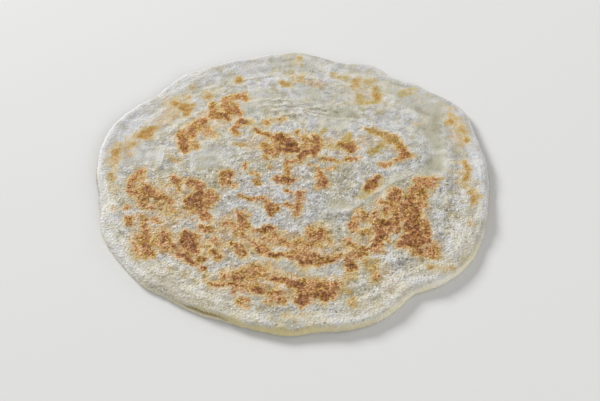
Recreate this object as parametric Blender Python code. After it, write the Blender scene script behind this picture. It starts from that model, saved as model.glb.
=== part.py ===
"""Roti: one round of folded dough, rolled out by hand and baked on a flat griddle.

Metres, +Z up. The bread lies flat on Z = 0, the middle of its outline is on the Z axis,
and +Y points to its far edge. It is one solid: a ball pressed out into a disc, with a
soft rounded rim, an uneven edge and the shallow folds that the dough keeps.
"""

import math

import bmesh
import bpy

MM = 0.001

# Driving dimensions.
WIDTH = 210 * MM  # left edge to right edge
DEPTH = 203 * MM  # near edge to far edge
OVAL_DEPTH = 200 * MM  # the plain oval that the hand-rolled edge wanders round
MIDDLE_THICKNESS = 4.6 * MM
RIM_THICKNESS = 5.2 * MM  # the roll of dough just inside the edge
RIM_WIDTH = 16 * MM  # from the edge to where the roll has died away
EDGE_ROUND = 3.4 * MM  # how far in the rounding of the edge starts, on top
FOOT_ROUND = 2.2 * MM  # the same, underneath
WIDEST_HEIGHT = 2.0 * MM  # where the side stands out furthest

# The hand-rolled edge: an oval that swells and dips. Each entry is the bearing from +X in
# degrees, how far the edge moves out in millimetres, and the spread in degrees.
EDGE_SWELLS = (
    (29, 5.7, 10),  # blunt corner, far right
    (46, 1.2, 4),
    (53, -2.9, 6),  # hollow beside it
    (62, 1.6, 4),
    (73, -2.4, 7),  # hollow right of the far bulge
    (89, 2.8, 8),  # far bulge
    (107, -0.2, 9),
    (142, -3.2, 9),  # flattened, far left
    (161, 0.9, 8),
    (190, -4.8, 12.5),  # flattened, left
    (216, -1.8, 9),
    (235, -2.4, 7),  # flattened, near left
    (250, -1.8, 9),
    (270, 1.9, 7),
    (289, 2.4, 8),
    (307, -4.0, 6),  # notch, near right
    (327, 2.0, 10),
    (351, -1.1, 8),
)

# Folds and hollows on top, in millimetres: both ends of the stroke, its rise, and its
# half-width.
TOP_FOLDS = (
    ((77, 58), (78, 6), -0.55, 6.0),  # long smooth groove, right
    ((77, 6), (64, 4), -0.45, 6.0),  # its foot turns to the middle
    ((50, -4), (22, -36), -0.40, 6.0),
    ((-88, 10), (-74, 16), -0.40, 7.0),
    ((59, -80), (57, -66), -0.45, 4.5),  # dip that runs in from the notch
    ((-90, -28), (-78, -56), -0.45, 4.0),  # crease along the left edge
    ((-98, 34), (-62, 78), 0.35, 5.0),  # raised lip, far left
    ((30, -84), (60, -64), 0.35, 4.0),  # ridges that follow the near right edge
    ((26, -74), (52, -56), 0.25, 4.0),
    ((-14, 51), (24, 49), 0.30, 5.0),
    ((-58, 22), (-36, 52), 0.35, 6.0),  # puffed stretches, baked brown
    ((-10, 22), (12, 22), 0.40, 9.0),
    ((60, -10), (61, -46), 0.45, 8.0),
    ((-48, -14), (-50, -48), 0.35, 8.0),
    ((-28, -68), (20, -76), 0.40, 8.0),
    ((-16, -50), (26, -57), 0.30, 7.0),
)

# The two skins of the folded dough part a little along the near left edge.
SPLIT_BEARING = 243
SPLIT_SPREAD = 12
SPLIT_DEPTH = 1.6 * MM
SPLIT_HALF_HEIGHT = 0.9 * MM

# Mesh: rings of the ball, and which of them become the top, the side and the underside.
SEGMENTS = 96
RINGS = 36
TOP_ENDS_AT = math.radians(-20)
UNDERSIDE_STARTS_AT = math.radians(-50)

DOUGH_COLOUR = (0.62, 0.57, 0.47, 1.0)
DOUGH_ROUGHNESS = 0.75


def clear_scene():
    for old in list(bpy.data.objects):
        bpy.data.objects.remove(old)


def smoothstep(low, high, value):
    t = min(max((value - low) / (high - low), 0.0), 1.0)
    return t * t * (3.0 - 2.0 * t)


def bearing_gap(bearing, other):
    """The angle between two bearings in degrees, from -180 to 180."""
    return (bearing - other + 180.0) % 360.0 - 180.0


def edge_radius(bearing):
    """How far the edge is from the middle, at a bearing in degrees."""
    angle = math.radians(bearing)
    half_width, half_depth = WIDTH / 2, OVAL_DEPTH / 2
    radius = half_width * half_depth
    radius /= math.hypot(half_depth * math.cos(angle), half_width * math.sin(angle))
    for middle, rise, spread in EDGE_SWELLS:
        gap = bearing_gap(bearing, middle) / spread
        radius += rise * MM * math.exp(-gap * gap)
    return radius


def distance_to_stroke(x, y, start, end):
    """The distance in millimetres from a point to the line between two others."""
    run_x, run_y = end[0] - start[0], end[1] - start[1]
    along = (x - start[0]) * run_x + (y - start[1]) * run_y
    share = min(max(along / (run_x * run_x + run_y * run_y), 0.0), 1.0)
    return math.hypot(x - start[0] - share * run_x, y - start[1] - share * run_y)


def top_height(x, y, to_edge):
    """The height of the top skin at a place to_edge metres inside the edge."""
    roll = 1.0 - smoothstep(EDGE_ROUND, RIM_WIDTH, to_edge)
    height = MIDDLE_THICKNESS + (RIM_THICKNESS - MIDDLE_THICKNESS) * roll
    for start, end, rise, half_width in TOP_FOLDS:
        gap = distance_to_stroke(x / MM, y / MM, start, end) / half_width
        height += rise * MM * math.exp(-gap * gap)
    return height


def split_depth(bearing, height):
    """How far the side draws in where the two skins part."""
    along = bearing_gap(bearing, SPLIT_BEARING) / SPLIT_SPREAD
    up = (height - WIDEST_HEIGHT) / SPLIT_HALF_HEIGHT
    return SPLIT_DEPTH * math.exp(-along * along - up * up)


def pressed_flat(ball_point):
    """Where a point of the unit ball goes when the ball is pressed out into the bread."""
    latitude = math.asin(min(max(ball_point.z, -1.0), 1.0))
    angle = math.atan2(ball_point.y, ball_point.x)
    bearing = math.degrees(angle)
    edge = edge_radius(bearing)
    crest_radius = edge - EDGE_ROUND
    crest = top_height(crest_radius * math.cos(angle), crest_radius * math.sin(angle), EDGE_ROUND)
    quarter = math.pi / 2
    if latitude > TOP_ENDS_AT:
        share = (quarter - latitude) / (quarter - TOP_ENDS_AT)
        radius = share * crest_radius
        x, y = radius * math.cos(angle), radius * math.sin(angle)
        height = top_height(x, y, edge - radius)
    elif latitude > UNDERSIDE_STARTS_AT:
        turn = math.pi * (TOP_ENDS_AT - latitude) / (TOP_ENDS_AT - UNDERSIDE_STARTS_AT)
        inset = EDGE_ROUND if turn < quarter else FOOT_ROUND
        reach = crest - WIDEST_HEIGHT if turn < quarter else WIDEST_HEIGHT
        height = WIDEST_HEIGHT + reach * math.cos(turn)
        radius = edge - inset * (1.0 - math.sin(turn)) - split_depth(bearing, height)
    else:
        share = (quarter + latitude) / (quarter + UNDERSIDE_STARTS_AT)
        radius = share * (edge - FOOT_ROUND)
        height = 0.0
    return radius * math.cos(angle), radius * math.sin(angle), height


def fit_to_size(points):
    """Centres the points on Z and brings them to the bread's exact width and depth."""
    for axis, size in ((0, WIDTH), (1, DEPTH)):
        values = [point.co[axis] for point in points]
        low, high = min(values), max(values)
        for point in points:
            point.co[axis] = (point.co[axis] - (low + high) / 2) * size / (high - low)


def dough_material():
    material = bpy.data.materials.new("dough")
    material.use_nodes = True
    shader = material.node_tree.nodes["Principled BSDF"]
    shader.inputs["Base Color"].default_value = DOUGH_COLOUR
    shader.inputs["Roughness"].default_value = DOUGH_ROUGHNESS
    shader.inputs["Metallic"].default_value = 0.0
    return material


def roti(collection):
    mesh = bpy.data.meshes.new("roti")
    bm = bmesh.new()
    bmesh.ops.create_uvsphere(bm, u_segments=SEGMENTS, v_segments=RINGS, radius=1.0)
    for point in bm.verts:
        point.co = pressed_flat(point.co)
    fit_to_size(bm.verts)
    bmesh.ops.recalc_face_normals(bm, faces=bm.faces)
    bm.to_mesh(mesh)
    bm.free()
    mesh.materials.append(dough_material())
    mesh.shade_smooth()
    bread = bpy.data.objects.new("roti", mesh)
    collection.objects.link(bread)
    return bread


clear_scene()
breads = bpy.data.collections.new("roti")
bpy.context.scene.collection.children.link(breads)
roti(breads)
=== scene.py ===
import math

import bpy
import numpy as np
from mathutils import Matrix, Vector, noise


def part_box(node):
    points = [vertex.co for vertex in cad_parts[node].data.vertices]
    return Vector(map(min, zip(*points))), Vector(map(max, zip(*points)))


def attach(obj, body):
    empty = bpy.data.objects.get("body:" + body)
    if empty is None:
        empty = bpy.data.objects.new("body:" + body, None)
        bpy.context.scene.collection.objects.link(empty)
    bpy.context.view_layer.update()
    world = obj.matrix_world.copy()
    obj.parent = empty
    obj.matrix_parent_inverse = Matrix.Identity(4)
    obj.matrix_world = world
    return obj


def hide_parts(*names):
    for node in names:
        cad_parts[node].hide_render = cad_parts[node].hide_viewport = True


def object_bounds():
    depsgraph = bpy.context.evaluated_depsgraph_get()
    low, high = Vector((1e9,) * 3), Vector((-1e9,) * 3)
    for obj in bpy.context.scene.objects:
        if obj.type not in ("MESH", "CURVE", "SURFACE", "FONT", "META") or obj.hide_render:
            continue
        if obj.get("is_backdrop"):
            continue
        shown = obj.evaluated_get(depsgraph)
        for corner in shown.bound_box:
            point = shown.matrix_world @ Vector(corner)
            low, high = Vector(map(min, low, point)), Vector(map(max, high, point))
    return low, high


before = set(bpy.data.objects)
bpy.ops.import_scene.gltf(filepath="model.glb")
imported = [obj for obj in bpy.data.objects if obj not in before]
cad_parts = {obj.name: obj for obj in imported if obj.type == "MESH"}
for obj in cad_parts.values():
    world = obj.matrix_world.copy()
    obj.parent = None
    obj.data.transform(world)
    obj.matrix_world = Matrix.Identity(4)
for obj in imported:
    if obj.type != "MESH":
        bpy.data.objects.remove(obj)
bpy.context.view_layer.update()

# ------------------------------------------------------------------------ the dough
# A ball of soft wheat dough, folded with fat, pressed out by hand and rolled into a round.
# It starts as a flat slab of the outline with rounded edges, on an even grid that is fine
# enough on top to carry the blisters, wrinkles and flaky lips that are worked into it next.

MM = 0.001
bread_low, bread_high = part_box("roti")
half_width = (bread_high.x - bread_low.x) / 2 / MM
half_depth = (bread_high.y - bread_low.y) / 2 / MM
slab_height = 4.3
oval_share = 0.985  # depth of the plain oval under the swells, as a share of the half depth
top_rounding = 2.7
foot_rounding = 1.3
rounding_steps = 6
outline_points = 480
grid_step = 0.70
underside_share = 0.16  # how much of the fine grid is kept on the underside

# where the rolling pushed the edge out or left it short: bearing from +X in degrees,
# how far it moves in millimetres, and how wide the swell is in degrees; the bearings and
# widths were picked by hand, and the moves follow a least-squares fit by a scratch program
edge_swells = (
    (29, 5.7, 10), (46, 1.2, 4), (53, -2.9, 6), (62, 1.6, 4), (73, -2.4, 7), (89, 2.8, 8), (107, -0.2, 9),
    (142, -3.2, 9), (161, 0.9, 8), (190, -4.8, 12.5), (216, -1.8, 9), (235, -2.4, 7), (250, -1.8, 9),
    (270, 1.9, 7), (289, 2.4, 8), (307, -4, 6), (327, 2, 10), (351, -1.1, 8),
)


def turn_from(bearings, middle):
    """How far each bearing is turned from the middle one, from -180 to 180 degrees."""
    return (bearings - middle + 180.0) % 360.0 - 180.0


def edge_radius(bearing):
    """Distance from the middle to the edge, in millimetres, for an array of bearings."""
    angle = np.radians(bearing)
    along = half_depth * oval_share
    radius = half_width * along / np.hypot(along * np.cos(angle), half_width * np.sin(angle))
    for middle, rise, spread in edge_swells:
        gap = turn_from(bearing, middle) / spread
        radius = radius + rise * np.exp(-gap * gap)
    return radius


def fade(low, high, value):
    """0 below low, 1 above high, and a smooth step between."""
    t = np.clip((value - low) / (high - low), 0.0, 1.0)
    return t * t * (3.0 - 2.0 * t)


def select_none(mesh):
    for part in (mesh.vertices, mesh.edges, mesh.polygons):
        part.foreach_set("select", np.zeros(len(part), bool))


def round_edge(level, width):
    """Bevels the outline's edges that lie at one height."""
    mesh = bread.data
    select_none(mesh)
    for edge in mesh.edges:
        edge.select = all(abs(mesh.vertices[i].co.z / MM - level) < 0.01 for i in edge.vertices)
    bpy.ops.object.mode_set(mode="EDIT")
    bpy.ops.mesh.select_mode(type="EDGE")
    bpy.ops.mesh.bevel(offset=width * MM, segments=rounding_steps, profile=0.5)
    bpy.ops.object.mode_set(mode="OBJECT")


bpy.ops.object.select_all(action="DESELECT")
bpy.ops.mesh.primitive_circle_add(
    vertices=outline_points, radius=half_width * MM, fill_type="NGON"
)
bread = bpy.context.object
bread.name = "bread"
bread.data.name = "bread"
for point in bread.data.vertices:
    turn = math.degrees(math.atan2(point.co.y, point.co.x))
    point.co *= float(edge_radius(np.array([turn]))[0]) * MM / point.co.length

bpy.ops.object.mode_set(mode="EDIT")
bpy.ops.mesh.select_all(action="SELECT")
bpy.ops.mesh.extrude_region_move(TRANSFORM_OT_translate={"value": (0, 0, slab_height * MM)})
bpy.ops.mesh.select_all(action="SELECT")
bpy.ops.mesh.normals_make_consistent(inside=False)
bpy.ops.object.mode_set(mode="OBJECT")
round_edge(slab_height, top_rounding)
round_edge(0.0, foot_rounding)

grid = bread.modifiers.new("even grid", "REMESH")
grid.mode = "VOXEL"
grid.voxel_size = grid_step * MM
bpy.ops.object.modifier_apply(modifier=grid.name)

# the flat underside carries no relief, so its fine grid is thinned out
select_none(bread.data)
for face in bread.data.polygons:
    face.select = face.normal.z < -0.99 and face.center.z < 0.05 * MM
bpy.ops.object.mode_set(mode="EDIT")
bpy.ops.mesh.select_mode(type="FACE")
bpy.ops.mesh.decimate(ratio=underside_share)
bpy.ops.object.mode_set(mode="OBJECT")

points = np.empty(len(bread.data.vertices) * 3)
bread.data.vertices.foreach_get("co", points)
points = points.reshape(-1, 3) / MM
x, y, z = points.T.copy()
bearing = np.degrees(np.arctan2(y, x))
inside = edge_radius(bearing) - np.hypot(x, y)  # millimetres in from the edge
on_top = fade(0.5, 0.86, z / slab_height)
on_side = fade(0.6, 1.4, z) * (1.0 - fade(2.6, 3.6, z)) * (1.0 - fade(1.0, 2.5, inside))
under = 1.0 - fade(0.15, 0.6, z)


def about(middle, spread):
    """1 at bearings near the middle one, falling off to 0 beyond the spread."""
    return np.exp(-(turn_from(bearing, middle) / spread) ** 4)


def wander(scale, seed, px=x, py=y, pz=0.0):
    """Smooth noise from about -0.5 to 0.5 at every point; scale is in millimetres."""
    shift = np.array((17.3, 9.1, 4.7)) * seed
    places = np.stack((px / scale, py / scale, np.broadcast_to(pz / scale, x.shape)), 1) + shift
    return np.array([noise.noise(place) for place in places.tolist()])


def bubbles(scale, seed):
    """Round domes packed side by side, from 0 between them to 1 at their tops."""
    places = np.stack((x / scale, y / scale, np.full(len(x), seed * 3.1)), 1)
    nearest = np.array([noise.voronoi(place)[0][0] for place in places.tolist()])
    return np.clip(1.0 - nearest / 0.62, 0.0, 1.0) ** 0.8


def to_stroke(px, py, start, end):
    """Distance from each point to the line from start to end, the share of the way along
    it, and which side of it the point is on: 1 on the left and -1 on the right."""
    run_x, run_y = end[0] - start[0], end[1] - start[1]
    off_x, off_y = px - start[0], py - start[1]
    length = max(run_x * run_x + run_y * run_y, 1e-9)
    share = np.clip((off_x * run_x + off_y * run_y) / length, 0, 1)
    away = np.hypot(off_x - share * run_x, off_y - share * run_y)
    return away, share, np.sign(run_x * off_y - run_y * off_x)


def blended_paint(strokes, px, py, soft_in, soft_out):
    """How strongly brush strokes cover each point: the strength of the strongest stroke
    there, fading out from soft_in inside its edge to soft_out outside it. A stroke is its
    strength, then x, y and radius at each place along its path."""
    value = np.zeros(len(x))
    for strength, *path in strokes:
        nearest = np.full(len(x), 1e3)
        for start, end in zip(path, path[1:] or path):
            away, share, _ = to_stroke(px, py, start, end)
            nearest = np.minimum(nearest, away - start[2] - (end[2] - start[2]) * share)
        value = np.maximum(value, strength * (1.0 - fade(-soft_in, soft_out, nearest)))
    return value


warp_x = 0.9 * wander(6.0, 11) + 1.4 * wander(2.4, 12)
warp_y = 0.9 * wander(6.0, 13) + 1.4 * wander(2.4, 14)

# zones where the skin pulled tight and smooth
smooth_zones = (
    (1, (77, 56, 3.5), (77, 30, 4.2), (76, 6, 5)), (1, (66, 3.5, 2.5), (72, 6, 4), (79, 5, 4)),
    (0.9, (54, -1, 2), (47, -8, 3), (40, -17, 3)), (0.9, (30, -20, 3.5), (23, -25, 5)),
    (1, (-88, 15, 6), (-76, 13, 5)), (0.8, (-47, 12, 8), (-40, 8, 5)), (0.9, (13, 61, 5), (8, 66, 4)),
    (0.7, (-22, 54, 5), (-12, 60, 4)), (0.7, (-14, -61, 2), (18, -64, 2.5)),
    (0.7, (20, 44, 5), (34, 42, 4)), (0.7, (58, 62, 7), (70, 52, 6)), (0.6, (-44, -34, 3), (-34, -26, 3)),
)
slow_x = warp_x + 7.0 * wander(15, 15)
slow_y = warp_y + 7.0 * wander(15, 16)
smooth = blended_paint(smooth_zones, x + slow_x, y + slow_y, 3.5, 5.0)

# the skin is liveliest over the middle and the near part, and calm along the far and right rim
lively = 1.0 - fade(-5.0, 62.0, y + 0.25 * np.abs(x))
rough = fade(12, 30, inside + 9.0 * lively) * (0.45 + 0.55 * lively) * (1.0 - 0.85 * smooth)

# where the whole skin took a little colour between the marks
scorched_zones = (
    (0.8, (-78, -6, 7), (-70, -18, 8), (-58, -8, 6), (-48, -20, 8), (-62, -34, 7)),
    (0.9, (-76, -34, 6), (-72, -48, 7), (-60, -46, 7), (-50, -50, 8), (-40, -54, 6), (-28, -50, 6)),
    (0.8, (-46, -24, 6), (-40, -38, 6), (-26, -34, 6), (-20, -48, 8)),
    (0.9, (-14, -46, 7), (4, -50, 9), (16, -52, 7), (28, -48, 5)),
    (1.2, (-32, -69, 5), (-16, -69, 7), (2, -74, 7), (16, -76, 7)), (0.7, (26, -62, 4)),
    (0.8, (34, -46, 5), (44, -42, 6), (44, -30, 7), (52, -18, 7), (62, -30, 9), (64, -48, 8)),
    (0.7, (-56, 28, 7), (-46, 40, 7), (-34, 54, 7)),
    (0.6, (-16, 24, 8), (2, 22, 9), (14, 22, 7), (30, 20, 7), (50, 26, 6), (58, 18, 5)),
    (0.6, (-64, 52, 7), (-78, 32, 6), (-96, 12, 4)), (0.5, (34, 72, 6), (44, 60, 7)), (0.25, (66, 64, 6)),
    (0.6, (4, 76, 5), (16, 72, 5)), (0.6, (88, 46, 5), (94, 26, 4)),
    (0.45, (92, 8, 4), (92, 0, 4), (93, -16, 4)), (0.5, (0, 8, 8), (-2, -4, 7)),
    (0.3, (6, -8, 9), (-2, -18, 9), (-32, -2, 6)), (0.4, (48, -72, 5), (44, -64, 4)),
)
scorch = blended_paint(scorched_zones, x + slow_x, y + slow_y, 3.5, 4.5)

# broad folds and dents of the top: both ends, rise and half-width
folds = (
    ((77, 58), (78, 6), -0.55, 5), ((77, 6), (64, 4), -0.45, 5), ((52, -2), (24, -32), -0.4, 5),
    ((-88, 12), (-74, 16), -0.4, 7), ((59, -80), (57, -66), -0.35, 3), ((-47, 12), (-40, 8), -0.3, 8),
    ((-98, 34), (-62, 78), 0.3, 3), ((14, 60), (8, 66), -0.3, 6), ((93, -20), (103, -19), -0.4, 1.2),
    ((-56, -37), (-45, -30), 0.35, 2.5), ((-2, -57), (10, -61), -0.35, 1.2),
    ((10, -61), (23, -56), -0.35, 1.2),
)
# lips of flaky layers: the path of the lip, its rise, and how wide it is on its high side,
# which is the left of the path; the right side drops off short
lips = (
    (((-97, -27), (-94, -40), (-89, -50), (-81, -60), (-73, -67)), -0.3, 1.6),
    (((-94, -28), (-89, -40), (-83, -51)), -0.4, 1.8), (((-91, -28), (-85, -41), (-79, -52)), -0.3, 1.6),
    (((64, 0), (52, -8), (40, -17), (28, -30), (21, -40)), -0.4, 2.6),
    (((38, 37), (50, 34), (58, 27), (63, 17)), 0.35, 2.2),
    (((-18, 52), (-6, 53.5), (4, 53), (14, 51), (26, 48)), 0.5, 1.6),
    (((-12, 49), (0, 50), (10, 48.5), (20, 46)), 0.42, 1.3), (((-4, 46), (8, 46.5), (18, 43)), 0.36, 1.2),
    (((-24, 56), (-10, 58), (2, 57)), 0.3, 1.4), (((20, 42), (34, 41), (46, 37)), 0.34, 1.4),
    (((-68, 8), (-67, 20), (-65, 32), (-58, 42), (-48, 49)), 0.35, 3),
    (((30, -86), (45, -79), (55, -70), (60, -62)), 0.26, 2.4),
    (((28, -76), (41, -71), (50, -62), (54, -56)), 0.22, 2), (((34, -91), (48, -84), (58, -76)), 0.3, 2.2),
    (((70, 38), (72, 26), (70, 12)), 0.35, 2), (((82, 40), (84, 24), (82, 8)), 0.25, 2.4),
    (((-80, -58), (-64, -72), (-46, -82)), -0.25, 2.2),
    (((-40, -78), (-20, -86), (4, -89), (26, -88)), 0.25, 2.6),
    (((-58, 64), (-42, 70), (-26, 71)), 0.25, 2.2), (((-30, 76), (-12, 80), (8, 78), (28, 74)), 0.22, 2.4),
    (((36, 68), (52, 64), (64, 56)), 0.22, 2.2), (((62, 4), (60, -2), (50, -4)), 0.25, 1.6),
    (((-26, -14), (-14, -19), (-6, -18)), 0.25, 1.6), (((14, 12), (30, 13), (46, 8)), 0.25, 1.6),
)

# the rim stands up in a soft roll and droops at its very edge, and it lies thinner along the
# near left, where the round was rolled out furthest
rim_rise, rim_width = 0.9, 17.0
thin_drop, thin_width = 1.1, 10.0
droop, droop_width = 0.5, 5.0
thin_edge = about(216.0, 26.0)
big = rim_rise * (1.0 - fade(2.0, rim_width, inside))
big = big - thin_drop * thin_edge * (1.0 - fade(0.0, thin_width, inside))
big -= droop * (1.0 - np.clip(inside / droop_width, 0, 1)) ** 2

# a low roll follows the near right edge, with a shallow gutter inside it
roll_rise, roll_in = 0.12, 4.2
gutter_drop, gutter_in = 0.08, 8.6
roll_half = 1.8
near_roll = about(300.0, 29.0) * fade(-0.25, 0.15, wander(14, 3))
roll = roll_rise * np.exp(-((inside - roll_in) / roll_half) ** 2)
gutter = gutter_drop * np.exp(-((inside - gutter_in) / roll_half) ** 2)
big += near_roll * (roll - gutter)
for start, end, rise, half in folds:
    gap = to_stroke(x, y, start, end)[0] / half
    big += rise * np.exp(-gap * gap)
lip_drop_width = 0.45  # how short the low side drops off
lip_line = 0.8  # half the width of the painted shade line below a lip and of the painted highlight on it
swing_x, swing_y = x + 0.8 * warp_x, y + 0.8 * warp_y
lip_shadow = np.zeros(len(x))
lip_highlight = np.zeros(len(x))
for path, rise, width in lips:
    height = np.zeros(len(x))
    for start, end in zip(path, path[1:]):
        away, share, side = to_stroke(swing_x, swing_y, start, end)
        high_side = side > 0 if rise > 0 else side < 0
        reach = np.where(high_side, width, lip_drop_width)
        height = np.maximum(height, np.exp(-(away / reach) ** 2))
        shadow = np.exp(-(away / lip_line) ** 2) * ~high_side
        lit = np.exp(-((away - lip_line) / lip_line) ** 2) * high_side
        lip_shadow = np.maximum(lip_shadow, shadow)
        lip_highlight = np.maximum(lip_highlight, lit)
    big += abs(rise) * height
big += 0.60 * wander(34, 1) + 0.55 * wander(13, 2)


def crinkle(scale, seed, stretch):
    """Thin creased ridges, from 0 between them to 1 on their crests, longer across."""
    swell = wander(scale, seed, px=(x + warp_x) / stretch, py=y + warp_y)
    return (1.0 - np.clip(3.2 * np.abs(swell), 0, 1)) ** 2


ring_wrinkles = wander(9.0, 21, pz=inside * 5.0) + 0.6 * wander(5.0, 22, pz=inside * 4.0)
ring_waves = wander(24.0, 29, pz=inside * 4.5)
blisters = bubbles(3.4, 1) * fade(-0.25, 0.1, wander(8, 23)) + 0.5 * bubbles(2.0, 2)
grain = wander(2.2, 24) + 0.6 * wander(1.4, 25)
creases = crinkle(3.6, 27, 1.6)

# how high each kind of relief stands, in millimetres
wrinkle_rise, wave_rise, blister_rise = 0.24, 0.70, 0.58
crease_rise, grain_rise, puff_rise = 0.42, 0.46, 0.75
bare = 1.0 - 0.65 * smooth
calm = 0.65 + 0.35 * lively
rising = 0.20 + 0.80 * rough
fine = wrinkle_rise * ring_wrinkles * (1.0 - 0.5 * fade(16, 30, inside)) * bare * calm
fine += wave_rise * ring_waves * (1.0 - 0.7 * fade(18, 34, inside)) * calm
fine += blister_rise * (blisters - 0.5) * rising * bare
fine += crease_rise * (creases - 0.35) * rough * bare
fine += grain_rise * grain * rising * bare
fine += puff_rise * wander(4.5, 26) * (0.40 + 0.60 * rough)

# ------------------------------------------------------------------------ baked marks
# The griddle browns the dough where it puffs up and touches: red-brown patches with dark
# cores over the middle, small golden ones towards the edge. Each mark is a brush stroke:
# how dark it is, then x, y and radius in millimetres at each place along its path.

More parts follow.
